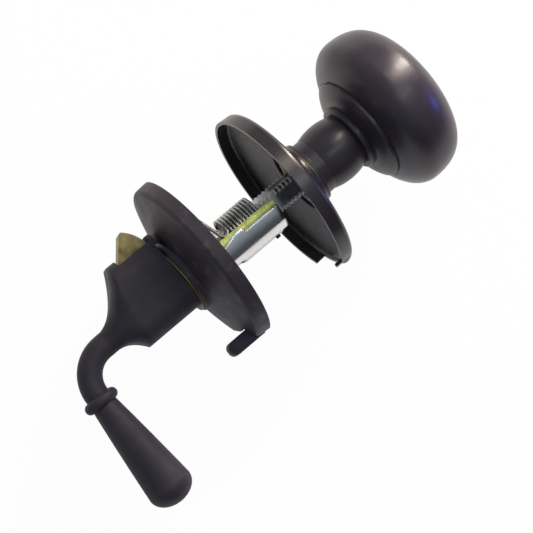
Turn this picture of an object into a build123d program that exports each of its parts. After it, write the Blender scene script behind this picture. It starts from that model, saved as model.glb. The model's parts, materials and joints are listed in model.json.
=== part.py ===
from build123d import *
import os
from math import atan, cos, degrees, hypot, pi, radians, sin

# Storm door handle set, in millimetres.
# The spindle lies along Y from the lever to the knob, the lever's grip points to +X and +Z is up.
# The origin is on the spindle's axis, in the plane of the inside rose's rim.

# Door and fits
door_thickness = 28.6
running_fit = 0.05
slip_fit = 0.02
axial_play = 0.1
side_clearance = 0.3
edge_break = 0.4
pin_edge_break = 0.2
quarter_turn = 90.0

# Spindle, a square bar whose corners carry a thread
spindle_side = 7.1
spindle_corner_radius = 4.76
spindle_turn = 18.0
thread_pitch = 1.5
thread_depth = 0.9
thread_start = 9.0
thread_end = 37.0
thread_groove_share = 0.4
thread_overcut = 0.1
spindle_end_wall = 1.0

# Return spring
spring_wire = 1.1
spring_pitch = 1.2
spring_coils = 9.5
spring_slack = 0.9
spring_start = 8.7
spring_leave_angle = 18.0
spring_bend = 1.2
spring_hook_turn = 165.5
spring_leg_run = 11.0
wire_sides = 8

# Drive core and the half sleeve round it
core_slack = 0.4
core_wall = 0.85
core_round_end = 3.5
core_edge = 0.8
core_setback = 3.8
spigot_length = 3.5
sleeve_wall = 0.8
sleeve_start = -0.3
sleeve_edge = 1.4
sleeve_edge_round = 0.35
lobe_start = 3.5
lobe_middle = 10.8
lobe_end = 12.5
lobe_height = 1.5
sleeve_slot_width = 7.4
sleeve_slot_end = 8.3
sleeve_pin_y = 20.9
sleeve_pin_radius = 0.75
sleeve_pin_proud = 0.7

# Stamped roses
rose_radius = 28.5
rose_sheet = 1.0
dome_thinning = 0.8
rose_rim_depth = 4.6
rose_draft = 0.3
rose_rise = 4.1
rose_crown = 0.4
rose_edge_round = 1.6
collar_land = 3.9
collar_height = 1.9
collar_flare = 0.4
collar_round = 0.9
outside_notch_near = 16.0
outside_notch_depth = 3.3
tooth_width = 1.2
tooth_length = 2.1
lug_width = 3.0
lug_root = 0.4

# Lock lever behind the inside rose
lock_swing = 27.0
lock_hub_wall = 2.9
lock_hub_start = -8.6
lock_hub_end = -1.7
lock_arm_thickness = 1.5
lock_arm_width = 7.0
lock_tab_inner = 23.9
lock_tab_thickness = 4.4
lock_tab_reach = 13.4
lock_tab_round = 2.0
lock_tab_corner = 0.6

# Washers and retaining rings
hub_washer_thickness = 0.33
hub_washer_inset = 0.6
outside_washer_thickness = 0.45
outside_washer_radius = 10.2
thrust_washer_thickness = 0.8
thrust_washer_radius = 10.5
ring_thickness = 0.8
ring_radius = 10.2
ring_groove_depth = 0.7
ring_gap = 70.0
ring_space = 0.2

# Lever casting
hub_top = 16.3
hub_bottom = 9.65
hub_width = 18.8
hub_corner = 6.5
hub_length_top = 14.85
hub_length_bottom = 18.85
heel_reach = 1.25
heel_depth = 3.7
saddle_depth = 2.0
saddle_length = 12.0
arm_radius = 3.8
arm_offset = 0.65
flare_length = 15.0
flare_ease = 2.2
flare_foot_ease = 3.2
flare_round_share = 0.98
flare_tuck = 0.15
flare_sections = 6
bend_radius = 10.4
arm_reach = 25.6
grip_lean = 1.5
bead_length = 3.45
bead_radius = 5.65
bead_root = 0.2
grip_neck_radius = 4.0
grip_neck_slope = 0.12
grip_swell_radius = 7.15
grip_swell_slope = 0.09
grip_length = 35.6
grip_tip_length = 5.4

# Latch bolt in the hub
bolt_width = 6.5
bolt_rise = 7.9
bolt_nose_round = 1.1
bolt_nose_share = 0.62
bolt_back_share = 0.89
bolt_back_height = 0.55
bolt_heel_height = 0.15
bolt_travel = 4.5
bolt_tail_depth = 4.0
bolt_tail_length = 7.5
bolt_heel_depth = 0.7
bolt_guide = 0.1
bolt_rear_wall = 0.65
bolt_pin_radius = 0.8
bolt_pin_back = 5.3
bolt_pin_length = 9.0
bolt_pin_depth = 2.0
bolt_pin_inset = 1.0
bolt_spring_radius = 1.45
bolt_spring_wire = 0.5
bolt_spring_coils = 6
bolt_spring_front = 2.4

# Set screws
screw_radius = 2.0
screw_length = 4.6
screw_hex = 1.15
screw_hex_depth = 2.2
lever_screw_back = 7.6
knob_screw_front = 6.25

# Knob
spigot_groove_land = 0.3
flange_radius = 10.1
flange_thickness = 1.35
flange_round = 0.3
neck_foot_radius = 8.95
neck_foot_length = 3.1
neck_belly_radius = 10.0
neck_belly_share = 0.48
neck_top_radius = 8.9
neck_length = 16.85
neck_ring_radius = 10.8
neck_ring_width = 1.8
neck_ring_round = 0.6
boss_radius = 17.3
boss_rise = 2.5
boss_land_height = 2.0
boss_land_back = 2.5
boss_dish_out = 0.6
boss_dish_rise = 0.35
shell_radius = 26.2
shell_centre = 31.2
shell_front_depth = 15.2
shell_back_depth = 11.2
shell_wall = 1.5
shell_front_fullness = 0.754
shell_back_fullness = 0.637
shell_groove = 0.6

# Sizes that follow
spring_mean = spindle_corner_radius + spring_slack + spring_wire / 2
core_bore = spring_mean + spring_wire / 2 + core_slack
core_radius = core_bore + core_wall
core_end = door_thickness - core_setback
sleeve_end = core_end
sleeve_inner = core_radius + slip_fit
sleeve_outer = sleeve_inner + sleeve_wall
rose_bore = core_radius + running_fit
collar_radius = core_radius + collar_land
rose_edge_radius = rose_radius - rose_draft
collar_foot = collar_radius + collar_flare
dome_depth = rose_rim_depth + rose_rise
rose_depth = dome_depth + collar_height
collar_inside = rose_depth - rose_sheet
hub_rear = -(rose_depth + axial_play + hub_washer_thickness)
hub_front = hub_rear - hub_length_top
hub_foot_front = hub_rear - hub_length_bottom
heel_rear = hub_rear + heel_reach
saddle_floor = -(hub_top - saddle_depth)
saddle_rear = hub_rear
saddle_front = saddle_rear - saddle_length
arm_start = hub_front - flare_length
flare_end_radius = arm_radius - flare_tuck
bend_start = hub_front - arm_reach + bend_radius * cos(radians(grip_lean))
core_start = hub_rear - spigot_length
spindle_start = hub_front + spindle_end_wall
ring_groove_radius = core_radius - ring_groove_depth
inside_ring_y = lock_hub_end + ring_space
bolt_front = saddle_front + bolt_guide
bolt_rear = hub_rear - bolt_rear_wall - bolt_guide
bolt_tail_rear = bolt_front + bolt_tail_length
bolt_tail_foot = saddle_floor + bolt_tail_depth
bolt_heel_foot = saddle_floor + bolt_heel_depth
pocket_floor = bolt_tail_foot + bolt_travel + bolt_guide
bolt_pin_y = hub_rear - bolt_pin_back - bolt_rear_wall
bolt_pin_x = saddle_floor + bolt_pin_depth
bolt_spring_y = bolt_front + bolt_spring_front
outside_collar_inside = door_thickness + collar_inside
outside_ring_y = outside_collar_inside - ring_space - ring_thickness
shank_start = outside_ring_y - spigot_groove_land
knob_foot = door_thickness + rose_depth + axial_play + outside_washer_thickness
neck_end = knob_foot + neck_length
boss_corner = neck_end + neck_ring_width + boss_rise
shell_y = knob_foot + shell_centre
shell_opening = boss_radius + shell_groove
spindle_end = boss_corner - spindle_end_wall
inside_notch_radius = lock_tab_inner - side_clearance
inside_notch_near = degrees(atan((lock_arm_width / 2 + side_clearance) / lock_tab_inner))
inside_notch_far = -(inside_notch_near + lock_swing)
outside_notch_radius = rose_edge_radius - rose_sheet - axial_play
screw_way = Vector(-sin(radians(spindle_turn)), 0, -cos(radians(spindle_turn)))


def across(y):
    """Plane square to the spindle at y: its x is +X, its y is +Z and it faces -Y."""
    return Plane(origin=(0, y, 0), x_dir=(1, 0, 0), z_dir=(0, -1, 0))


def mix(first, last, share):
    return first + (last - first) * share


def polar(radius, angle):
    return (radius * cos(radians(angle)), radius * sin(radians(angle)))


def sector(angle_from, angle_to, reach, mode=Mode.ADD):
    """Pie slice round the spindle in the current sketch."""
    middle = (angle_from + angle_to) / 2
    corners = [(0, 0), polar(reach, angle_from), polar(reach, middle), polar(reach, angle_to)]
    Polygon(*corners, align=None, mode=mode)


def block(x_from, x_to, y_from, y_to):
    """Rectangle between two corners in the current sketch."""
    with Locations(((x_from + x_to) / 2, (y_from + y_to) / 2)):
        Rectangle(abs(x_to - x_from), abs(y_to - y_from))


def soften(sketch, point, radius):
    """Round the sketch corner nearest to a point."""
    fillet(sketch.vertices().sort_by_distance(point)[0], radius)


def spindle_section(clearance):
    """The spindle's square with its corners cut round, in the current sketch."""
    side = spindle_side + 2 * clearance
    Circle(spindle_corner_radius + clearance)
    Rectangle(side, side, rotation=-spindle_turn, mode=Mode.INTERSECT)


def dome_inside(radius):
    """Depth of a rose's dome, on its inner face."""
    share = (rose_edge_radius - radius) / (rose_edge_radius - collar_foot)
    return mix(rose_rim_depth, dome_depth, share) - rose_sheet


def washer(inner, outer, y_from, thickness):
    with BuildPart() as ring:
        with BuildSketch(across(y_from)):
            Circle(outer)
            Circle(inner, mode=Mode.SUBTRACT)
        extrude(amount=-thickness)
    return ring


def snap_ring(y_from):
    """Open ring that sits in a groove, its gap at the top."""
    top = 2 * quarter_turn
    with BuildPart() as ring:
        with BuildSketch(across(y_from)):
            Circle(ring_radius)
            Circle(ring_groove_radius + slip_fit, mode=Mode.SUBTRACT)
            sector(top - ring_gap / 2, top + ring_gap / 2, 2 * ring_radius, Mode.SUBTRACT)
        extrude(amount=-ring_thickness)
    return ring


def screw_plane(y):
    """Plane on the hidden flat of the spindle, facing outward."""
    return Plane(origin=screw_way * (spindle_side / 2) + Vector(0, y, 0), x_dir=(0, 1, 0), z_dir=screw_way)


def set_screw(y):
    tip = screw_plane(y).offset(slip_fit)
    with BuildPart() as screw:
        with BuildSketch(tip):
            Circle(screw_radius)
        extrude(amount=screw_length)
        chamfer(screw.faces().sort_by(Axis(tip.origin, tip.z_dir))[0].edges(), edge_break)
        with BuildSketch(tip.offset(screw_length)):
            RegularPolygon(screw_hex, 6)
        extrude(amount=-screw_hex_depth, mode=Mode.SUBTRACT)
    return screw


def rose(rim_y, outward, notch_far, notch_near, notch_radius, notch_depth):
    """Stamped dish on the door, its collar towards outward (-1 lever, +1 knob).

    Its rim is notched between two angles, from a radius outward, to a depth.
    """

    def at(radius, depth):
        return (radius, rim_y + outward * depth)

    skin = dome_thinning * rose_sheet
    middle_radius = (rose_edge_radius + collar_foot) / 2
    middle_depth = (rose_rim_depth + dome_depth) / 2 + rose_crown
    outer_edge = at(rose_edge_radius, rose_rim_depth)
    outer_foot = at(collar_foot, dome_depth)
    collar_corner = at(collar_radius, rose_depth)
    inner_foot = at(collar_foot - rose_sheet, dome_depth - skin)
    inner_edge = at(rose_edge_radius - rose_sheet, rose_rim_depth - skin)
    with BuildPart() as dish:
        with BuildSketch(Plane.XY) as section:
            with BuildLine():
                Polyline(at(rose_radius - rose_sheet, 0), at(rose_radius, 0), outer_edge)
                ThreePointArc(outer_edge, at(middle_radius, middle_depth), outer_foot)
                Polyline(
                    outer_foot,
                    collar_corner,
                    at(rose_bore, rose_depth),
                    at(rose_bore, collar_inside),
                    at(collar_radius - rose_sheet, collar_inside),
                    inner_foot,
                )
                ThreePointArc(inner_foot, at(middle_radius - rose_sheet, middle_depth - skin), inner_edge)
                Line(inner_edge, at(rose_radius - rose_sheet, 0))
            make_face()
            soften(section, outer_edge, rose_edge_round)
            soften(section, inner_edge, rose_edge_round / 2)
            soften(section, collar_corner, collar_round)
            soften(section, outer_foot, rose_sheet / 2)
        revolve(axis=Axis.Y)
        with BuildSketch(across(rim_y)):
            sector(notch_far, notch_near, 2 * rose_radius)
            Circle(notch_radius, mode=Mode.SUBTRACT)
        extrude(amount=-outward * notch_depth, mode=Mode.SUBTRACT)
    return dish


# Return spring: helix about the spindle, then a bent leg that leaves it on the near side
leave = radians(spring_leave_angle)
coil_plane = Plane(origin=(0, spring_start, 0), x_dir=(-sin(leave), 0, cos(leave)), z_dir=(0, 1, 0))
coil = coil_plane.location * Edge.make_helix(
    spring_pitch, spring_pitch * spring_coils, spring_mean, lefthand=True
)
leg_way = Vector(cos(leave), 0, sin(leave))
leg_plane = Plane(origin=coil @ 0, x_dir=leg_way, z_dir=leg_way.cross(Vector(0, 1, 0)))
coil_lead = atan(spring_pitch / (2 * pi * spring_mean))
with BuildPart() as return_spring:
    with BuildLine(leg_plane) as leg:
        hook = JernArc((0, 0), (cos(coil_lead), -sin(coil_lead)), spring_bend, -spring_hook_turn)
        run = Line(hook @ 1, (hook @ 1) + (hook % 1) * spring_leg_run)
        elbow = JernArc(run @ 1, run % 1, spring_bend, spring_hook_turn - quarter_turn + degrees(coil_lead))
        elbow_end = elbow @ 1
        tip_y = side_clearance - dome_inside(Vector(elbow_end.X, 0, elbow_end.Z).length)
        Line(elbow @ 1, (elbow @ 1) + Vector(0, tip_y - elbow_end.Y, 0))
    spring_path = Wire([*leg.edges(), coil])
    with BuildSketch(Plane(origin=spring_path @ 0, z_dir=spring_path % 0)):
        RegularPolygon(spring_wire / 2, wire_sides)
    sweep(path=spring_path)

# Roses: the inside one holds the spring's leg with a lug, the outside one has a tooth beside its notch
inside_rose = rose(0, -1, inside_notch_far, inside_notch_near, inside_notch_radius, rose_depth)
lug_side = elbow_end.Z + spring_wire / 2 + axial_play
with BuildPart() as inside_rose_with_lug:
    add(inside_rose.part)
    with BuildSketch(across(tip_y - side_clearance - lug_root * rose_sheet)):
        with Locations((elbow_end.X, lug_side + rose_sheet / 2)):
            Rectangle(lug_width, rose_sheet)
    extrude(amount=tip_y + lock_hub_end)

outside_rose = rose(
    door_thickness, 1, inside_notch_far, outside_notch_near, outside_notch_radius, outside_notch_depth
)
with BuildPart() as outside_rose_with_tooth:
    add(outside_rose.part)
    with BuildSketch(across(door_thickness)):
        Circle(rose_radius)
        Circle(rose_radius - rose_sheet, mode=Mode.SUBTRACT)
        sector(
            outside_notch_near,
            outside_notch_near + degrees(tooth_width / rose_radius),
            2 * rose_radius,
            Mode.INTERSECT,
        )
    extrude(amount=tooth_length)

# Spindle with thread grooves on its corners
with BuildPart() as spindle:
    with BuildSketch(across(spindle_start)):
        spindle_section(0)
    extrude(amount=-(spindle_end - spindle_start))
    with BuildSketch(Plane.XY):
        grooves = int((thread_end - thread_start) / thread_pitch)
        groove_places = [(spindle_corner_radius, thread_start + thread_pitch * i) for i in range(grooves)]
        with Locations(*groove_places):
            half = thread_groove_share * thread_pitch
            Polygon((-thread_depth, 0), (thread_overcut, half), (thread_overcut, -half), align=None)
    revolve(axis=Axis.Y, mode=Mode.SUBTRACT)

# Drive core: round with a square hole in the rose, cut away to a half tube inside the door
with BuildPart() as spindle_core:
    with BuildSketch(across(core_start)):
        Circle(core_radius)
    extrude(amount=-(core_end - core_start))
    with BuildSketch(across(core_start)):
        spindle_section(running_fit)
    extrude(amount=-(core_end - core_start), mode=Mode.SUBTRACT)
    with BuildSketch(across(core_round_end)):
        Circle(core_bore)
    extrude(amount=-(core_end - core_round_end), mode=Mode.SUBTRACT)
    with BuildSketch(Plane.XY):
        block(-2 * core_radius, -core_edge, core_round_end, core_end)
    extrude(amount=2 * core_radius, both=True, mode=Mode.SUBTRACT)
    with BuildSketch(across(inside_ring_y - slip_fit)):
        Circle(2 * core_radius)
        Circle(ring_groove_radius, mode=Mode.SUBTRACT)
    extrude(amount=-(ring_thickness + 2 * slip_fit), mode=Mode.SUBTRACT)
    with BuildSketch(Plane.YZ):
        with Locations((sleeve_pin_y, 0)):
            Circle(sleeve_pin_radius + slip_fit)
    extrude(amount=2 * core_radius, mode=Mode.SUBTRACT)


def on_sleeve_rim(edge):
    """Whether an edge is one of the half sleeve's long outer ones."""
    middle = edge @ 0.5
    return abs(middle.X) < sleeve_outer / 2 and hypot(middle.X, middle.Z) > sleeve_outer - sleeve_wall / 4


# Half sleeve: its long edges are rounded and rise to a lobe, and its lever end is slotted
with BuildPart() as half_sleeve:
    with BuildSketch(across(sleeve_start)):
        Circle(sleeve_outer)
        Circle(sleeve_inner, mode=Mode.SUBTRACT)
    extrude(amount=-(sleeve_end - sleeve_start))
    with BuildSketch(Plane.XY):
        with BuildLine():
            lobe_top = (sleeve_edge - lobe_height, lobe_middle)
            Line((sleeve_edge, sleeve_start), (sleeve_edge, lobe_start))
            Spline((sleeve_edge, lobe_start), lobe_top, tangents=[(0, 1), (0, 1)])
            TangentArc(lobe_top, (sleeve_edge, lobe_end), tangent=(0, 1))
            Polyline(
                (sleeve_edge, lobe_end),
                (sleeve_edge, sleeve_end),
                (-2 * sleeve_outer, sleeve_end),
                (-2 * sleeve_outer, sleeve_start),
                (sleeve_edge, sleeve_start),
            )
        make_face()
    extrude(amount=2 * sleeve_outer, both=True, mode=Mode.SUBTRACT)
    fillet(half_sleeve.edges().filter_by(on_sleeve_rim), sleeve_edge_round)
    with BuildSketch(Plane.YZ) as slot:
        with Locations((sleeve_start, 0)):
            Rectangle(2 * (sleeve_slot_end - sleeve_start), sleeve_slot_width)
        fillet(slot.vertices(), sleeve_slot_width / 4)
    extrude(amount=2 * sleeve_outer, mode=Mode.SUBTRACT)
    with BuildSketch(Plane.YZ):
        with Locations((sleeve_pin_y, 0)):
            Circle(sleeve_pin_radius + slip_fit)
    extrude(amount=2 * sleeve_outer, mode=Mode.SUBTRACT)

with BuildPart() as sleeve_pin:
    with BuildSketch(Plane.YZ.offset(core_bore)):
        with Locations((sleeve_pin_y, 0)):
            Circle(sleeve_pin_radius)
    extrude(amount=sleeve_outer + sleeve_pin_proud - core_bore)
    fillet(sleeve_pin.faces().sort_by(Axis.X)[-1].edges(), pin_edge_break)

# Lock lever: hub round the core, flat arm, and a tab that comes out through the inside rose
lock_bore = core_radius + running_fit
lock_tab_outer = lock_tab_inner + lock_tab_thickness
with BuildPart() as lock_lever:
    with BuildSketch(across(lock_hub_start)):
        Circle(lock_bore + lock_hub_wall)
    extrude(amount=-(lock_hub_end - lock_hub_start))
    with BuildSketch(across(lock_hub_end)):
        with Locations((lock_tab_outer / 2, 0)):
            Rectangle(lock_tab_outer, lock_arm_width)
    extrude(amount=lock_arm_thickness)
    with BuildSketch(across(lock_hub_end)) as tab:
        block(lock_tab_inner, lock_tab_outer, -lock_arm_width / 2, lock_arm_width / 2)
        fillet(tab.vertices(), lock_tab_corner)
    extrude(amount=lock_tab_reach + lock_hub_end)
    tab_end = lock_lever.faces().sort_by(Axis.Y)[0]
    fillet(tab_end.edges(), lock_tab_round)
    with BuildSketch(across(lock_hub_start)):
        Circle(lock_bore)
    extrude(amount=-(lock_hub_end - lock_hub_start), mode=Mode.SUBTRACT)

# Washers and rings
hub_washer = washer(rose_bore, collar_radius - hub_washer_inset, hub_rear, hub_washer_thickness)
thrust_washer = washer(
    rose_bore, thrust_washer_radius, axial_play / 2 - collar_inside, thrust_washer_thickness
)
outside_washer = washer(
    rose_bore, outside_washer_radius, knob_foot - outside_washer_thickness, outside_washer_thickness
)
inside_retaining_ring = snap_ring(inside_ring_y)
outside_retaining_ring = snap_ring(outside_ring_y)


def flare_section(share):
    """Section of the lever on the way from the hub's face (0) to the round arm (1)."""
    ease = 1 - (1 - share) ** flare_ease
    foot_ease = 1 - (1 - share) ** flare_foot_ease
    side_ease = share**2 * (3 - 2 * share)
    top_x = mix(-hub_top, arm_offset - flare_end_radius, ease)
    foot_x = mix(hub_bottom, arm_offset + flare_end_radius, foot_ease)
    top = Vector(top_x, mix(hub_front, arm_start, share))
    foot = Vector(foot_x, mix(hub_foot_front, arm_start, share))
    down = (foot - top).normalized()
    width = mix(hub_width, 2 * flare_end_radius, side_ease)
    corner = mix(hub_corner, flare_round_share * flare_end_radius, ease)
    plane = Plane(origin=(top + foot) / 2, x_dir=down, z_dir=(down.Y, -down.X, 0))
    with BuildSketch(plane) as section:
        RectangleRounded((foot - top).length, width, corner)
    return section.sketch


# Lever: hub, flare, bent arm, bead and grip in one casting, then the machined pockets and holes
with BuildPart() as lever:
    extrude(flare_section(0), amount=heel_rear - hub_foot_front, dir=(0, 1, 0))
    with BuildSketch(Plane.XY):
        block(-2 * hub_top, 2 * hub_top, heel_rear, heel_rear + hub_length_bottom)
        block(heel_depth - hub_top, 2 * hub_top, hub_rear, heel_rear)
    extrude(amount=hub_width, both=True, mode=Mode.SUBTRACT)
    loft([flare_section(i / (flare_sections - 1)) for i in range(flare_sections)])
    with BuildLine() as neck:
        Line((arm_offset, arm_start + arm_radius), (arm_offset, bend_start))
        bend = JernArc((arm_offset, bend_start), (0, -1), bend_radius, quarter_turn - grip_lean)
        Line(bend @ 1, (bend @ 1) + (bend % 1) * bead_length / 2)
    with BuildSketch(across(arm_start + arm_radius)):
        with Locations((arm_offset, 0)):
            Circle(arm_radius)
    sweep(path=neck.line)
    grip_plane = Plane(origin=bend @ 1, x_dir=bend % 1, z_dir=(0, 0, 1))
    with BuildSketch(grip_plane):
        with BuildLine():
            neck_point = (bead_length, grip_neck_radius)
            swell = (bead_length + grip_length - grip_tip_length, grip_swell_radius)
            bead_foot = (0, arm_radius - bead_root)
            Line((0, 0), bead_foot)
            ThreePointArc(bead_foot, (bead_length / 2, bead_radius), neck_point)
            Spline(neck_point, swell, tangents=[(1, grip_neck_slope), (1, grip_swell_slope)])
            EllipticalCenterArc((swell[0], 0), grip_tip_length, grip_swell_radius, 0, arc_size=quarter_turn)
            Line((swell[0] + grip_tip_length, 0), (0, 0))
        make_face()
    revolve(axis=Axis(grip_plane.origin, grip_plane.x_dir))
    with BuildSketch(Plane.XY):
        block(-2 * hub_top, saddle_floor, saddle_front, saddle_rear)
    extrude(amount=hub_width, both=True, mode=Mode.SUBTRACT)
    with BuildSketch(Plane.XY):
        block(saddle_floor, pocket_floor, bolt_front - bolt_guide, bolt_tail_rear + bolt_guide)
        block(saddle_floor, bolt_heel_foot + bolt_travel + bolt_guide, bolt_tail_rear, bolt_rear + bolt_guide)
    extrude(amount=bolt_width / 2 + bolt_guide, both=True, mode=Mode.SUBTRACT)
    with BuildSketch(across(hub_rear)):
        Circle(core_radius + slip_fit)
    extrude(amount=spigot_length + axial_play, mode=Mode.SUBTRACT)
    with BuildSketch(across(hub_rear)):
        spindle_section(running_fit)
    extrude(amount=hub_rear - spindle_start + axial_play, mode=Mode.SUBTRACT)
    with BuildSketch(screw_plane(hub_rear - lever_screw_back)):
        Circle(screw_radius + slip_fit)
    extrude(amount=hub_width, mode=Mode.SUBTRACT)
    with BuildSketch(Plane.XY.offset(bolt_pin_length - hub_width / 2)):
        with Locations((bolt_pin_x, bolt_pin_y)):
            Circle(bolt_pin_radius + slip_fit)
    extrude(amount=-hub_width, mode=Mode.SUBTRACT)

lever_set_screw = set_screw(hub_rear - lever_screw_back)

# Latch bolt: wedge with a rounded nose, a tail in the hub, a spring hole and a blind slot for its pin
slot_width = 2 * (bolt_pin_radius + bolt_guide)
with BuildPart() as latch_bolt:
    with BuildSketch(Plane.XY) as wedge:
        nose = (saddle_floor - bolt_rise, mix(bolt_front, bolt_rear, bolt_nose_share))
        back = (saddle_floor - bolt_back_height * bolt_rise, mix(bolt_front, bolt_rear, bolt_back_share))
        heel = (saddle_floor - bolt_heel_height * bolt_rise, bolt_rear)
        with BuildLine():
            Polyline(
                heel,
                (bolt_heel_foot, bolt_rear),
                (bolt_heel_foot, bolt_tail_rear),
                (bolt_tail_foot, bolt_tail_rear),
                (bolt_tail_foot, bolt_front),
                (saddle_floor, bolt_front),
                nose,
            )
            ThreePointArc(nose, back, heel)
        make_face()
        soften(wedge, nose, bolt_nose_round)
    extrude(amount=bolt_width / 2, both=True)
    spring_hole_top = saddle_floor - bolt_heel_height * bolt_rise
    with BuildSketch(Plane(origin=(bolt_tail_foot, bolt_spring_y, 0), z_dir=(-1, 0, 0))):
        Circle(bolt_spring_radius + bolt_guide)
    extrude(amount=bolt_tail_foot - spring_hole_top, mode=Mode.SUBTRACT)
    with BuildSketch(Plane.XY.offset(bolt_pin_length - hub_width / 2 + bolt_guide)):
        with Locations((bolt_pin_x - bolt_travel / 2, bolt_pin_y)):
            SlotCenterToCenter(bolt_travel, slot_width)
    extrude(amount=-bolt_width, mode=Mode.SUBTRACT)

with BuildPart() as bolt_pin:
    with BuildSketch(Plane.XY.offset(bolt_pin_inset - hub_width / 2)):
        with Locations((bolt_pin_x, bolt_pin_y)):
            Circle(bolt_pin_radius)
    extrude(amount=bolt_pin_length - bolt_pin_inset - axial_play)
    chamfer(bolt_pin.faces().sort_by(Axis.Z)[0].edges(), pin_edge_break)

# Bolt spring: stands on the pocket's floor and reaches up into the bolt
bolt_spring_rest = pocket_floor - spring_hole_top - bolt_spring_wire - 2 * slip_fit
with BuildPart() as bolt_spring:
    bolt_coil_foot = pocket_floor - bolt_spring_wire / 2 - slip_fit
    bolt_coil_plane = Plane(
        origin=(bolt_coil_foot, bolt_spring_y, 0), x_dir=(0, 0, 1), z_dir=(-1, 0, 0)
    )
    bolt_coil = bolt_coil_plane.location * Edge.make_helix(
        bolt_spring_rest / bolt_spring_coils, bolt_spring_rest, bolt_spring_radius - bolt_spring_wire / 2
    )
    with BuildSketch(Plane(origin=bolt_coil @ 0, z_dir=bolt_coil % 0)):
        RegularPolygon(bolt_spring_wire / 2, wire_sides - 2)
    sweep(path=bolt_coil)

# Knob shank: spigot, flange, barrel neck, ring and stepped boss turned in one piece
with BuildPart() as knob_shank:
    with BuildSketch(Plane.XY) as turned:
        with BuildLine():
            flange_top = knob_foot + flange_thickness
            belly_start = flange_top + neck_foot_length
            ring_end = neck_end + neck_ring_width
            land_start = shell_y - shell_back_depth + boss_land_back
            land_end = land_start + boss_land_height
            Polyline(
                (0, shank_start),
                (core_radius, shank_start),
                (core_radius, knob_foot),
                (flange_radius, knob_foot),
                (flange_radius, flange_top),
                (neck_foot_radius, flange_top),
                (neck_foot_radius, belly_start),
            )
            ThreePointArc(
                (neck_foot_radius, belly_start),
                (neck_belly_radius, mix(belly_start, neck_end, neck_belly_share)),
                (neck_top_radius, neck_end),
            )
            Polyline(
                (neck_top_radius, neck_end),
                (neck_ring_radius, neck_end),
                (neck_ring_radius, ring_end),
            )
            dish_middle = (
                mix(neck_ring_radius, boss_radius, boss_dish_out),
                mix(ring_end, boss_corner, boss_dish_rise),
            )
            ThreePointArc((neck_ring_radius, ring_end), dish_middle, (boss_radius, boss_corner))
            Polyline(
                (boss_radius, boss_corner),
                (boss_radius, land_start),
                (shell_opening - slip_fit, land_start),
                (shell_opening - slip_fit, land_end),
                (0, land_end),
                (0, shank_start),
            )
        make_face()
        soften(turned, (flange_radius, flange_top), flange_round)
        soften(turned, (neck_ring_radius, neck_end), neck_ring_round)
        soften(turned, (boss_radius, boss_corner), edge_break)
    revolve(axis=Axis.Y)
    with BuildSketch(across(outside_ring_y - slip_fit)):
        Circle(2 * core_radius)
        Circle(ring_groove_radius, mode=Mode.SUBTRACT)
    extrude(amount=-(ring_thickness + 2 * slip_fit), mode=Mode.SUBTRACT)
    with BuildSketch(across(shank_start)):
        spindle_section(running_fit)
    extrude(amount=-(spindle_end - shank_start + axial_play), mode=Mode.SUBTRACT)
    with BuildSketch(screw_plane(knob_foot + knob_screw_front)):
        Circle(screw_radius + slip_fit)
    extrude(amount=2 * flange_radius, mode=Mode.SUBTRACT)

knob_set_screw = set_screw(knob_foot + knob_screw_front)


def knob_section(inset):
    """Half section of the knob's solid form, moved inward by inset."""
    rim = shell_radius - inset
    front = shell_front_depth - inset
    back = shell_back_depth - inset
    with BuildSketch(Plane.XY) as section:
        with BuildLine():
            Bezier(
                (rim, shell_y),
                (rim, shell_y + shell_front_fullness * front),
                (shell_front_fullness * rim, shell_y + front),
                (0, shell_y + front),
            )
            Line((0, shell_y + front), (0, shell_y - back))
            Bezier(
                (0, shell_y - back),
                (shell_back_fullness * rim, shell_y - back),
                (rim, shell_y - shell_back_fullness * back),
                (rim, shell_y),
            )
        make_face()
    return section.sketch


# Knob shell: spun hollow, open at the back where the shank's boss sits
with BuildPart() as knob_shell:
    revolve(knob_section(0), axis=Axis.Y)
    revolve(knob_section(shell_wall), axis=Axis.Y, mode=Mode.SUBTRACT)
    with BuildSketch(across(shell_y)):
        Circle(shell_opening)
    extrude(amount=2 * shell_back_depth, mode=Mode.SUBTRACT)

pieces = {
    "lever": lever,
    "latch_bolt": latch_bolt,
    "bolt_spring": bolt_spring,
    "bolt_pin": bolt_pin,
    "lever_set_screw": lever_set_screw,
    "hub_washer": hub_washer,
    "inside_rose": inside_rose_with_lug,
    "thrust_washer": thrust_washer,
    "lock_lever": lock_lever,
    "inside_retaining_ring": inside_retaining_ring,
    "spindle_core": spindle_core,
    "half_sleeve": half_sleeve,
    "sleeve_pin": sleeve_pin,
    "return_spring": return_spring,
    "spindle": spindle,
    "outside_rose": outside_rose_with_tooth,
    "outside_retaining_ring": outside_retaining_ring,
    "outside_washer": outside_washer,
    "knob_shank": knob_shank,
    "knob_shell": knob_shell,
    "knob_set_screw": knob_set_screw,
}

os.makedirs("parts", exist_ok=True)
for name, piece in pieces.items():
    piece.part.label = name
    export_step(piece.part, f"parts/{name}.step")
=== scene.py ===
import json
import math

import bpy
from mathutils import Matrix, Vector


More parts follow.
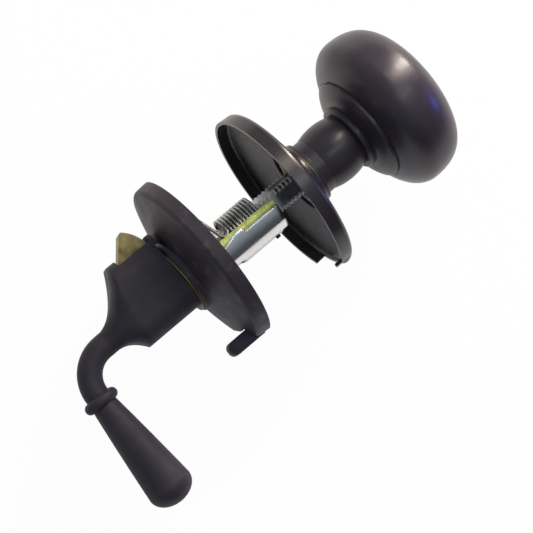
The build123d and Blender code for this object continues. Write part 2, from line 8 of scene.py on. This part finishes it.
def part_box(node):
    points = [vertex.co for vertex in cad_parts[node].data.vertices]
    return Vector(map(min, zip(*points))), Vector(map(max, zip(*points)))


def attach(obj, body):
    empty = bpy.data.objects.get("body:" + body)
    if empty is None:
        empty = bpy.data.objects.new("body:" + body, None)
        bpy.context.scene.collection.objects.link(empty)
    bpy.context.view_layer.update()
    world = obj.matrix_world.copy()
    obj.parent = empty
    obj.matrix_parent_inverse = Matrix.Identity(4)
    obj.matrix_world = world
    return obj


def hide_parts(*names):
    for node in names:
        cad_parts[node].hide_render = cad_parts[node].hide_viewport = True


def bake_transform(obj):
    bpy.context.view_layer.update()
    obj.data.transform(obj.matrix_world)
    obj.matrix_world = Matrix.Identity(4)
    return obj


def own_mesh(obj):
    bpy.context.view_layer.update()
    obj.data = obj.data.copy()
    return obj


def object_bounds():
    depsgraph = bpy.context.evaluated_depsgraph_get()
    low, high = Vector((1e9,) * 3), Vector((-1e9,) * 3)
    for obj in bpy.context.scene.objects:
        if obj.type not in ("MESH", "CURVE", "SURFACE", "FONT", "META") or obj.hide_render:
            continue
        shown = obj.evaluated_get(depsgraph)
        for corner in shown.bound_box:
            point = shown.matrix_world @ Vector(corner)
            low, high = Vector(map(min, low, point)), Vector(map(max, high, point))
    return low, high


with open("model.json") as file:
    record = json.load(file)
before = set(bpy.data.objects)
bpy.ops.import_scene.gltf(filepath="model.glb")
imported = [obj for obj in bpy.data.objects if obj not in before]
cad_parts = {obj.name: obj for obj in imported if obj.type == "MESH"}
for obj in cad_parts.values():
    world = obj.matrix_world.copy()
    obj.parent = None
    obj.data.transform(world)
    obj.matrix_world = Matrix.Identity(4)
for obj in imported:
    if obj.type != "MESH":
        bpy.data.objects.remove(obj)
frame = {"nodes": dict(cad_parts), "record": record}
cad_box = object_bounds()
nodes = frame["nodes"]

MM = 0.001
WHITE = (1.0, 1.0, 1.0, 1.0)

# Camera of the photograph, in the part's frame
IMAGE_SIZE = 533
FOCAL_PIXELS = 2064.3
SENSOR_WIDTH = 36.0
CLIP_START = 0.01
CLIP_END = 50.0
CAMERA_PLACE = Vector((13.65, -121.16, 601.43)) * MM
CAMERA_RIGHT = Vector((0.6460, 0.7452, 0.1652))
CAMERA_UP = Vector((-0.7633, 0.6307, 0.1398))

# Room: brightest along one way, dark away from it
SKY_WAY = (-0.5, -0.3, 0.8)
SKY_HIGH = 0.45
SKY_LOW = 0.09
SKY_FROM = -0.35
SKY_TO = 0.75
SKY_COLOUR = (0.78, 0.87, 1.0, 1.0)

# Floor: share of plain white to the camera and in reflections, matt colour, half width and gap below the part
FLOOR_WHITE = 0.97
FLOOR_GLOSS = 0.42
FLOOR_COLOUR = (0.92, 0.90, 0.84, 1.0)
FLOOR_REACH = 3.0
FLOOR_GAP = 0.010

# Soft boxes: the ways to their two ends along the camera's right, up and back,
# then width in metres, radiance and colour
SOFT_BOXES = {
    "window": ((0.50, 0.80, -0.12), (0.33, 0.79, 0.52), 0.11, 46.0, (1.0, 0.90, 0.81)),
    "window_top": ((0.33, 0.79, 0.52), (0.22, 0.64, 0.74), 0.14, 14.0, (1.0, 0.84, 0.68)),
    "window_glow": ((0.55, 0.78, -0.05), (0.25, 0.66, 0.72), 0.40, 1.5, (1.0, 0.85, 0.76)),
    "panel": ((0.10, 0.03, 1.07), (0.64, 0.49, 0.71), 0.14, 3.4, (0.84, 0.98, 1.0)),
    "blue_card": ((0.96, 0.25, 0.08), (0.96, 0.25, 0.20), 0.14, 30.0, (0.10, 0.12, 1.0)),
    "blue_room": ((0.80, 0.60, 0.05), (0.97, 0.20, 0.05), 0.40, 0.9, (0.35, 0.40, 1.0)),
}

# Worn edges, and on the latch bolt a painted highlight along them too: samples, and the cosines between true
# and rounded normals where the lighter edge starts and is full
EDGE_SAMPLES = 6
EDGE_FLAT = 0.99
EDGE_SHARP = 0.82

# Streaks in steel: drawn along the spindle, or the same every way
DRAWN = (4.0, 1.0, 4.0)
EVEN = (1.0, 1.0, 1.0)

# Spindle's finish, in millimetres: where the painted light on the length outside the rose ends, with painted
# shade of the rose's hollow beyond it, and how far out the crests start, whose lighter colour is partly wear
# and partly a painted highlight
PAINTED_LIGHT_FROM = 26.5
PAINTED_LIGHT_TO = 28.0
CREST_FROM = 4.0
CREST_TO = 4.25

# Return spring, in millimetres, as the solids have it
WIRE_RADIUS = 0.575
COIL_RADIUS = 6.21
COIL_START = 8.7
COIL_PITCH = 1.2
COIL_TURNS = 9.5
LEG_ANGLE = math.radians(18.0)
HOOK_RADIUS = 1.2
HOOK_TURN = math.radians(165.5)
LEG_RUN = 11.0

# Bolt spring, in millimetres
BOLT_WIRE_RADIUS = 0.25
BOLT_COILS = 6

# Steps along the wires' bends, steps in each turn of their coils, and sides round them
HOOK_STEPS = 16
TIP_STEPS = 10
COIL_STEPS = 40
BOLT_STEPS = 24
WIRE_SIDES = 12


def add_object(name, data):
    """New object in the scene's own collection."""
    thing = bpy.data.objects.new(name, data)
    bpy.context.scene.collection.objects.link(thing)
    return thing


def camera_axes():
    """Right, up and back of the camera, made square to each other."""
    right = CAMERA_RIGHT.normalized()
    back = right.cross(CAMERA_UP).normalized()
    return right, back.cross(right), back


def make_camera():
    """Camera at the photograph's angle and focal length."""
    data = bpy.data.cameras.new("camera")
    data.sensor_width = SENSOR_WIDTH
    data.lens = FOCAL_PIXELS * SENSOR_WIDTH / IMAGE_SIZE
    data.clip_start = CLIP_START
    data.clip_end = CLIP_END
    camera = add_object("camera", data)
    turn = Matrix(camera_axes()).transposed().to_4x4()
    camera.matrix_world = Matrix.Translation(CAMERA_PLACE) @ turn
    bpy.context.scene.camera = camera


class Shader:
    """A material's node tree, with short calls for the nodes used here."""

    def __init__(self, name):
        self.material = bpy.data.materials.new(name)
        self.material.use_nodes = True
        self.tree = self.material.node_tree
        self.bsdf = self.tree.nodes["Principled BSDF"]
        self.place = self.add("ShaderNodeTexCoord").outputs["Object"]

    def add(self, kind, **settings):
        node = self.tree.nodes.new(kind)
        for key, value in settings.items():
            setattr(node, key, value)
        return node

    def join(self, source, target):
        self.tree.links.new(source, target)

    def set(self, **values):
        """Plain values on the shader's sockets, by their names with _ for spaces."""
        for key, value in values.items():
            self.bsdf.inputs[key.replace("_", " ")].default_value = value

    def stretched(self, scale):
        """Object coordinates scaled along each axis."""
        mapping = self.add("ShaderNodeMapping")
        mapping.inputs["Scale"].default_value = scale
        self.join(self.place, mapping.inputs["Vector"])
        return mapping.outputs["Vector"]

    def noise(self, scale, detail=4.0, roughness=0.55, vector=None):
        node = self.add("ShaderNodeTexNoise")
        node.inputs["Scale"].default_value = scale
        node.inputs["Detail"].default_value = detail
        node.inputs["Roughness"].default_value = roughness
        self.join(vector or self.place, node.inputs["Vector"])
        return node.outputs["Fac"]

    def spread(self, value, low, high, to_low=0.0, to_high=1.0):
        """Map a value's range onto another, clamped."""
        node = self.add("ShaderNodeMapRange")
        node.inputs["From Min"].default_value = low
        node.inputs["From Max"].default_value = high
        node.inputs["To Min"].default_value = to_low
        node.inputs["To Max"].default_value = to_high
        self.join(value, node.inputs["Value"])
        return node.outputs["Result"]

    def blend(self, share, first, second):
        """Mix two colours, each a value or a socket."""
        node = self.add("ShaderNodeMix", data_type="RGBA")
        self.join(share, node.inputs["Factor"])
        for socket, colour in ((node.inputs[6], first), (node.inputs[7], second)):
            if isinstance(colour, tuple):
                socket.default_value = (*colour, 1.0)
            else:
                self.join(colour, socket)
        return node.outputs[2]

    def maths(self, operation, first, second):
        """One operation on two values, each a number or a socket."""
        node = self.add("ShaderNodeMath", operation=operation)
        for socket, value in zip(node.inputs, (first, second)):
            if isinstance(value, float):
                socket.default_value = value
            else:
                self.join(value, socket)
        return node.outputs[0]

    def rounded(self, radius):
        """Normals of a surface whose edges are polished round."""
        bevel = self.add("ShaderNodeBevel", samples=EDGE_SAMPLES)
        bevel.inputs["Radius"].default_value = radius
        return bevel.outputs["Normal"]

    def edges(self, radius):
        """1 on sharp edges, fading to 0 within a radius."""
        plain = self.add("ShaderNodeNewGeometry").outputs["Normal"]
        dot = self.add("ShaderNodeVectorMath", operation="DOT_PRODUCT")
        self.join(self.rounded(radius), dot.inputs[0])
        self.join(plain, dot.inputs[1])
        return self.spread(dot.outputs["Value"], low=EDGE_FLAT, high=EDGE_SHARP)

    def bump(self, height, strength, distance, normal=None):
        node = self.add("ShaderNodeBump")
        if normal:
            self.join(normal, node.inputs["Normal"])
        node.inputs["Strength"].default_value = strength
        node.inputs["Distance"].default_value = distance
        self.join(height, node.inputs["Height"])
        self.join(node.outputs["Normal"], self.bsdf.inputs["Normal"])

    def colour(self, socket):
        self.join(socket, self.bsdf.inputs["Base Color"])

    def roughness(self, value, low, high, smooth, rough):
        """Roughness from one level to another as a value goes from low to high."""
        self.join(self.spread(value, low, high, smooth, rough), self.bsdf.inputs["Roughness"])


def bronze(name, dark, light, rubbed, rough_low, rough_high, grain, gloss, spots):
    """Oil-rubbed finish: mottled near-black coat, rubbed brown on its edges and in spots."""
    s = Shader(name)
    cloud = s.spread(s.noise(scale=55.0), low=0.35, high=0.68)
    speck = s.spread(s.noise(scale=1400.0, detail=2.0), low=0.50, high=0.75)
    patchy = s.spread(s.noise(scale=260.0), low=0.42, high=0.66, to_high=0.75)
    worn = s.maths("MULTIPLY", s.edges(radius=0.6 * MM), patchy)
    fine = s.noise(scale=240.0, detail=5.0, roughness=0.65)
    spotted = s.spread(fine, low=0.54, high=0.72, to_high=spots)
    s.colour(s.blend(s.maths("MAXIMUM", worn, spotted), s.blend(cloud, dark, light), rubbed))
    s.roughness(s.noise(scale=180.0), low=0.3, high=0.7, smooth=rough_low, rough=rough_high)
    s.bump(speck, strength=grain, distance=0.05 * MM)
    s.set(Specular_IOR_Level=gloss)
    return s.material


def brass(name, bright, dull, edge, rough_low, rough_high):
    """Turned and milled brass with a dull film, fine tool marks and lighter edges, from wear and, on the
    latch bolt, a painted highlight.
    """
    s = Shader(name)
    film = s.spread(s.noise(scale=230.0), low=0.36, high=0.66)
    marks = s.noise(scale=300.0, detail=3.0, vector=s.stretched((1.0, 9.0, 1.0)))
    # Edge colour: wear, and on the latch bolt a painted highlight along its edges
    s.colour(s.blend(s.edges(radius=0.4 * MM), s.blend(film, bright, dull), edge))
    s.roughness(marks, low=0.3, high=0.7, smooth=rough_low, rough=rough_high)
    s.bump(marks, strength=0.12, distance=0.05 * MM)
    s.set(Metallic=1.0)
    return s.material


def steel(name, bright, dull, rough_low, rough_high, stretch):
    """Drawn steel: fine streaks and a few darker patches."""
    s = Shader(name)
    patch = s.spread(s.noise(scale=150.0), low=0.40, high=0.70)
    streaks = s.noise(scale=500.0, detail=3.0, vector=s.stretched(stretch))
    s.colour(s.blend(patch, bright, dull))
    s.roughness(streaks, low=0.3, high=0.7, smooth=rough_low, rough=rough_high)
    s.bump(streaks, strength=0.10, distance=0.04 * MM)
    s.set(Metallic=1.0)
    return s.material


def bar_steel(name, crest, flat, dark):
    """Spindle steel: painted light on the length outside the rose, mottled darker flats as painted shade
    inside the rose's hollow, and thread crests lighter, partly from wear and partly as a painted highlight.
    """
    s = Shader(name)
    reach = s.add("ShaderNodeVectorMath", operation="LENGTH")
    s.join(s.stretched((1.0, 0.0, 1.0)), reach.inputs[0])
    facing = s.add("ShaderNodeSeparateXYZ")
    s.join(s.add("ShaderNodeTexCoord").outputs["Normal"], facing.inputs[0])
    lean = s.maths("ABSOLUTE", facing.outputs["Y"], 0.0)
    outward = s.spread(lean, low=0.2, high=0.5, to_low=1.0, to_high=0.0)
    # Crest mask: lighter colour that is partly wear and partly a painted highlight
    far_out = s.spread(reach.outputs["Value"], low=CREST_FROM * MM, high=CREST_TO * MM)
    corner = s.maths("MULTIPLY", far_out, outward)
    flat_mottle = s.spread(s.noise(scale=160.0), low=0.36, high=0.66)
    along = s.add("ShaderNodeSeparateXYZ")
    s.join(s.place, along.inputs[0])
    # Painted light on the length outside the rose; past it the flats keep the darker colours as painted shade
    # of the hollow
    painted_light_outside = s.spread(along.outputs["Y"], low=PAINTED_LIGHT_FROM * MM, high=PAINTED_LIGHT_TO * MM, to_low=1.0, to_high=0.0)
    bright = s.maths("MAXIMUM", corner, painted_light_outside)
    streaks = s.noise(scale=500.0, detail=3.0, vector=s.stretched(DRAWN))
    s.colour(s.blend(bright, s.blend(flat_mottle, flat, dark), crest))
    s.roughness(streaks, low=0.3, high=0.7, smooth=0.26, rough=0.42)
    # Painted light and highlight are partly matt, so they stay light whatever they reflect
    s.join(s.spread(bright, low=0.0, high=1.0, to_low=1.0, to_high=0.4), s.bsdf.inputs["Metallic"])
    s.bump(streaks, strength=0.10, distance=0.04 * MM)
    return s.material


def chrome(name, bright, dull):
    """Bright plate with faint handling haze, its edges polished round."""
    s = Shader(name)
    haze = s.noise(scale=120.0, detail=5.0)
    s.colour(s.blend(s.spread(haze, low=0.4, high=0.7), bright, dull))
    s.roughness(haze, low=0.35, high=0.7, smooth=0.07, rough=0.18)
    ripple = s.noise(scale=900.0, detail=2.0)
    s.bump(ripple, strength=0.03, distance=0.03 * MM, normal=s.rounded(radius=0.7 * MM))
    s.set(Metallic=1.0)
    return s.material


def make_materials():
    """Finished materials by slot of the record, and by node where a piece differs from its slot."""
    return {
        "lever_bronze": bronze(
            "lever_bronze_finish",
            dark=(0.026, 0.023, 0.030),
            light=(0.040, 0.035, 0.043),
            rubbed=(0.070, 0.038, 0.030),
            rough_low=0.48,
            rough_high=0.62,
            grain=0.30,
            gloss=0.2,
            spots=0.35,
        ),
        "dark_bronze": bronze(
            "dark_bronze_finish",
            dark=(0.025, 0.019, 0.027),
            light=(0.037, 0.028, 0.036),
            rubbed=(0.062, 0.042, 0.038),
            rough_low=0.29,
            rough_high=0.36,
            grain=0.10,
            gloss=0.4,
            spots=0.15,
        ),
        "inside_rose": bronze(
            "satin_bronze_finish",
            dark=(0.022, 0.017, 0.025),
            light=(0.038, 0.027, 0.033),
            rubbed=(0.085, 0.060, 0.062),
            rough_low=0.44,
            rough_high=0.56,
            grain=0.15,
            gloss=0.35,
            spots=0.8,
        ),
        "outside_rose": bronze(
            "polished_bronze_finish",
            dark=(0.014, 0.011, 0.013),
            light=(0.022, 0.016, 0.017),
            rubbed=(0.034, 0.024, 0.022),
            rough_low=0.24,
            rough_high=0.32,
            grain=0.10,
            gloss=0.55,
            spots=0.15,
        ),
        "brass": brass(
            "brass_finish",
            bright=(0.50, 0.50, 0.16),
            dull=(0.32, 0.32, 0.09),
            edge=(0.56, 0.55, 0.22),
            rough_low=0.26,
            rough_high=0.42,
        ),
        # Edge colour far lighter than the body: wear plus a painted highlight along the bolt's edges and
        # chamfer
        "latch_bolt": brass(
            "bolt_brass_finish",
            bright=(0.29, 0.235, 0.11),
            dull=(0.12, 0.095, 0.045),
            edge=(0.54, 0.46, 0.26),
            rough_low=0.40,
            rough_high=0.56,
        ),
        "hub_washer": brass(
            "washer_brass_finish",
            bright=(0.26, 0.21, 0.09),
            dull=(0.14, 0.11, 0.05),
            edge=(0.28, 0.23, 0.10),
            rough_low=0.42,
            rough_high=0.58,
        ),
        "outside_washer": brass(
            "outside_washer_finish",
            bright=(0.20, 0.17, 0.08),
            dull=(0.10, 0.08, 0.04),
            edge=(0.22, 0.18, 0.09),
            rough_low=0.42,
            rough_high=0.58,
        ),
        "steel": steel(
            "steel_finish",
            bright=(0.52, 0.51, 0.49),
            dull=(0.30, 0.29, 0.27),
            rough_low=0.24,
            rough_high=0.40,
            stretch=DRAWN,
        ),
        "black_steel": steel(
            "black_steel_finish",
            bright=(0.05, 0.05, 0.056),
            dull=(0.03, 0.03, 0.034),
            rough_low=0.35,
            rough_high=0.5,
            stretch=EVEN,
        ),
        # Crest colour is the painted light and highlight; flat and dark colours are the painted shade inside
        # the rose
        "spindle": bar_steel(
            "spindle_finish",
            crest=(0.92, 0.90, 0.86),
            flat=(0.46, 0.45, 0.45),
            dark=(0.30, 0.29, 0.30),
        ),
        "chrome": chrome("chrome_finish", bright=(0.80, 0.79, 0.77), dull=(0.68, 0.67, 0.65)),
    }


def dress_nodes(materials):
    """Give each node its own finish, or its slot's."""
    for entry in frame["record"]["subparts"]:
        name = entry["node"]
        mesh = nodes[name].data
        mesh.materials.clear()
        mesh.materials.append(materials.get(name) or materials[entry["material_slot"]])


def spring_path():
    """Points along the return spring's wire, from the leg's tip to the end of the coil, in millimetres."""
    side = Vector((-math.sin(LEG_ANGLE), 0.0, math.cos(LEG_ANGLE)))
    way = Vector((math.cos(LEG_ANGLE), 0.0, math.sin(LEG_ANGLE)))
    along = Vector((0.0, 1.0, 0.0))
    lead = math.atan(COIL_PITCH / (2 * math.pi * COIL_RADIUS))
    tip_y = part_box("return_spring")[0].y / MM
    place = side * COIL_RADIUS + along * COIL_START
    heading = -lead
    leg = []

    def bend(turn, steps):
        nonlocal place, heading
        for _ in range(steps):
            heading += turn / steps
            chord = 2 * HOOK_RADIUS * math.sin(abs(turn) / steps / 2)
            middle = heading - turn / steps / 2
            place = place + (way * math.cos(middle) + along * math.sin(middle)) * chord
            leg.append(place)

    bend(-HOOK_TURN, HOOK_STEPS)
    place = place + (way * math.cos(heading) + along * math.sin(heading)) * LEG_RUN
    leg.append(place)
    bend(HOOK_TURN - math.pi / 2 + lead, TIP_STEPS)
    leg.append(Vector((place.x, tip_y, place.z)))
    coil = []
    steps = int(COIL_TURNS * COIL_STEPS)
    for i in range(steps + 1):
        turn = 2 * math.pi * COIL_TURNS * i / steps
        ring = side * math.cos(turn) - way * math.sin(turn)
        coil.append(ring * COIL_RADIUS + along * (COIL_START + COIL_PITCH * turn / (2 * math.pi)))
    return leg[::-1] + coil


def make_wire(name, path, radius, material, solid):
    """Round wire along a path in metres, in place of a solid spring's faceted one."""
    sides = WIRE_SIDES
    verts = []
    faces = []
    across = (path[1] - path[0]).orthogonal().normalized()
    for i, point in enumerate(path):
        way = (path[min(i + 1, len(path) - 1)] - path[max(i - 1, 0)]).normalized()
        across = (across - way * across.dot(way)).normalized()
        other = way.cross(across)
        for k in range(sides):
            turn = 2 * math.pi * k / sides
            verts.append(point + (across * math.cos(turn) + other * math.sin(turn)) * radius)
    for i in range(len(path) - 1):
        for k in range(sides):
            a = i * sides + k
            b = i * sides + (k + 1) % sides
            faces.append((a, b, b + sides, a + sides))
    last = (len(path) - 1) * sides
    faces.append(tuple(reversed(range(sides))))
    faces.append(tuple(range(last, last + sides)))
    mesh = bpy.data.meshes.new(name)
    mesh.from_pydata(verts, [], faces)
    for face in mesh.polygons:
        face.use_smooth = len(face.vertices) == 4
    mesh.materials.append(material)
    wire = add_object(name, mesh)
    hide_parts(solid)
    return wire


def make_return_spring(material):
    """Torsion spring as one round wire, from its leg's tip through its coil."""
    path = [point * MM for point in spring_path()]
    wire = make_wire("return_spring_wire", path, WIRE_RADIUS * MM, material, "return_spring")
    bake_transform(wire)


def make_bolt_spring(material):
    """Compression spring's round wire, carried with the handle."""
    low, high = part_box("bolt_spring")
    middle = (low + high) / 2
    radius = BOLT_WIRE_RADIUS * MM
    reach = (high.y - low.y) / 2 - radius
    first = low.x + radius
    run = high.x - radius - first
    path = []
    steps = BOLT_COILS * BOLT_STEPS
    for i in range(steps + 1):
        turn = 2 * math.pi * BOLT_COILS * i / steps
        path.append(Vector((
            first + run * i / steps,
            middle.y + reach * math.cos(turn),
            middle.z + reach * math.sin(turn),
        )))
    wire = make_wire("bolt_spring_wire", path, radius, material, "bolt_spring")
    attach(wire, "handle")
    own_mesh(wire)


def floor_material():
    """Matt floor, mostly plain white to the camera and partly so in reflections."""
    material = bpy.data.materials.new("floor_white")
    material.use_nodes = True
    tree = material.node_tree
    tree.nodes.clear()
    rays = tree.nodes.new("ShaderNodeLightPath")
    share = None
    for ray, white in (("Camera", FLOOR_WHITE), ("Glossy", FLOOR_GLOSS), ("Transmission", FLOOR_GLOSS)):
        node = tree.nodes.new("ShaderNodeMath")
        node.operation = "MULTIPLY_ADD"
        tree.links.new(rays.outputs[f"Is {ray} Ray"], node.inputs[0])
        node.inputs[1].default_value = white
        node.inputs[2].default_value = 0.0
        if share:
            tree.links.new(share.outputs[0], node.inputs[2])
        share = node
    matt = tree.nodes.new("ShaderNodeBsdfDiffuse")
    matt.inputs["Color"].default_value = FLOOR_COLOUR
    glow = tree.nodes.new("ShaderNodeEmission")
    glow.inputs["Strength"].default_value = 1.0
    mix = tree.nodes.new("ShaderNodeMixShader")
    tree.links.new(share.outputs[0], mix.inputs[0])
    tree.links.new(matt.outputs[0], mix.inputs[1])
    tree.links.new(glow.outputs[0], mix.inputs[2])
    output = tree.nodes.new("ShaderNodeOutputMaterial")
    tree.links.new(mix.outputs[0], output.inputs["Surface"])
    return material


def make_floor():
    """Flat floor, far enough below the part for the lever to swing clear of it."""
    low, _ = cad_box
    size = FLOOR_REACH
    z = low.z - FLOOR_GAP
    mesh = bpy.data.meshes.new("floor")
    corners = [(-size, -size, z), (size, -size, z), (size, size, z), (-size, size, z)]
    mesh.from_pydata(corners, [], [(0, 1, 2, 3)])
    mesh.materials.append(floor_material())
    floor = add_object("floor", mesh)


def make_world():
    """Dim studio room, paler along one way; white where the camera looks past the floor."""
    world = bpy.data.worlds.new("studio")
    bpy.context.scene.world = world
    world.use_nodes = True
    tree = world.node_tree
    tree.nodes.clear()
    place = tree.nodes.new("ShaderNodeTexCoord")
    height = tree.nodes.new("ShaderNodeVectorMath")
    height.operation = "DOT_PRODUCT"
    height.inputs[1].default_value = SKY_WAY
    tree.links.new(place.outputs["Generated"], height.inputs[0])
    level = tree.nodes.new("ShaderNodeMapRange")
    level.interpolation_type = "SMOOTHSTEP"
    level.inputs["From Min"].default_value = SKY_FROM
    level.inputs["From Max"].default_value = SKY_TO
    level.inputs["To Min"].default_value = SKY_LOW
    level.inputs["To Max"].default_value = SKY_HIGH
    tree.links.new(height.outputs["Value"], level.inputs["Value"])
    room = tree.nodes.new("ShaderNodeBackground")
    room.inputs["Color"].default_value = SKY_COLOUR
    tree.links.new(level.outputs["Result"], room.inputs["Strength"])
    white = tree.nodes.new("ShaderNodeBackground")
    white.inputs["Color"].default_value = WHITE
    rays = tree.nodes.new("ShaderNodeLightPath")
    mix = tree.nodes.new("ShaderNodeMixShader")
    tree.links.new(rays.outputs["Is Camera Ray"], mix.inputs[0])
    tree.links.new(room.outputs[0], mix.inputs[1])
    tree.links.new(white.outputs[0], mix.inputs[2])
    output = tree.nodes.new("ShaderNodeOutputWorld")
    tree.links.new(mix.outputs[0], output.inputs["Surface"])


def make_light(name, end, other_end, width, radiance, colour):
    """Soft box a metre from the object's middle, its height from one end to the other."""
    axes = Matrix(camera_axes()).transposed()
    low, high = cad_box
    target = (low + high) / 2
    first = (axes @ Vector(end)).normalized()
    second = (axes @ Vector(other_end)).normalized()
    out = (first + second).normalized()
    rise = (second - first).normalized()
    height = 2 * math.tan(first.angle(second) / 2)
    data = bpy.data.lights.new(name, "AREA")
    data.shape = "RECTANGLE"
    data.size = width
    data.size_y = height
    data.energy = radiance * math.pi * width * height
    data.color = colour
    light = add_object(name, data)
    turn = Matrix((rise.cross(out), rise, out)).transposed().to_4x4()
    light.matrix_world = Matrix.Translation(target + out) @ turn


make_camera()
make_world()
make_floor()
finishes = make_materials()
dress_nodes(finishes)
make_return_spring(finishes["steel"])
make_bolt_spring(finishes["steel"])
for name, settings in SOFT_BOXES.items():
    make_light(name, *settings)
bpy.context.scene.view_settings.view_transform = "Standard"
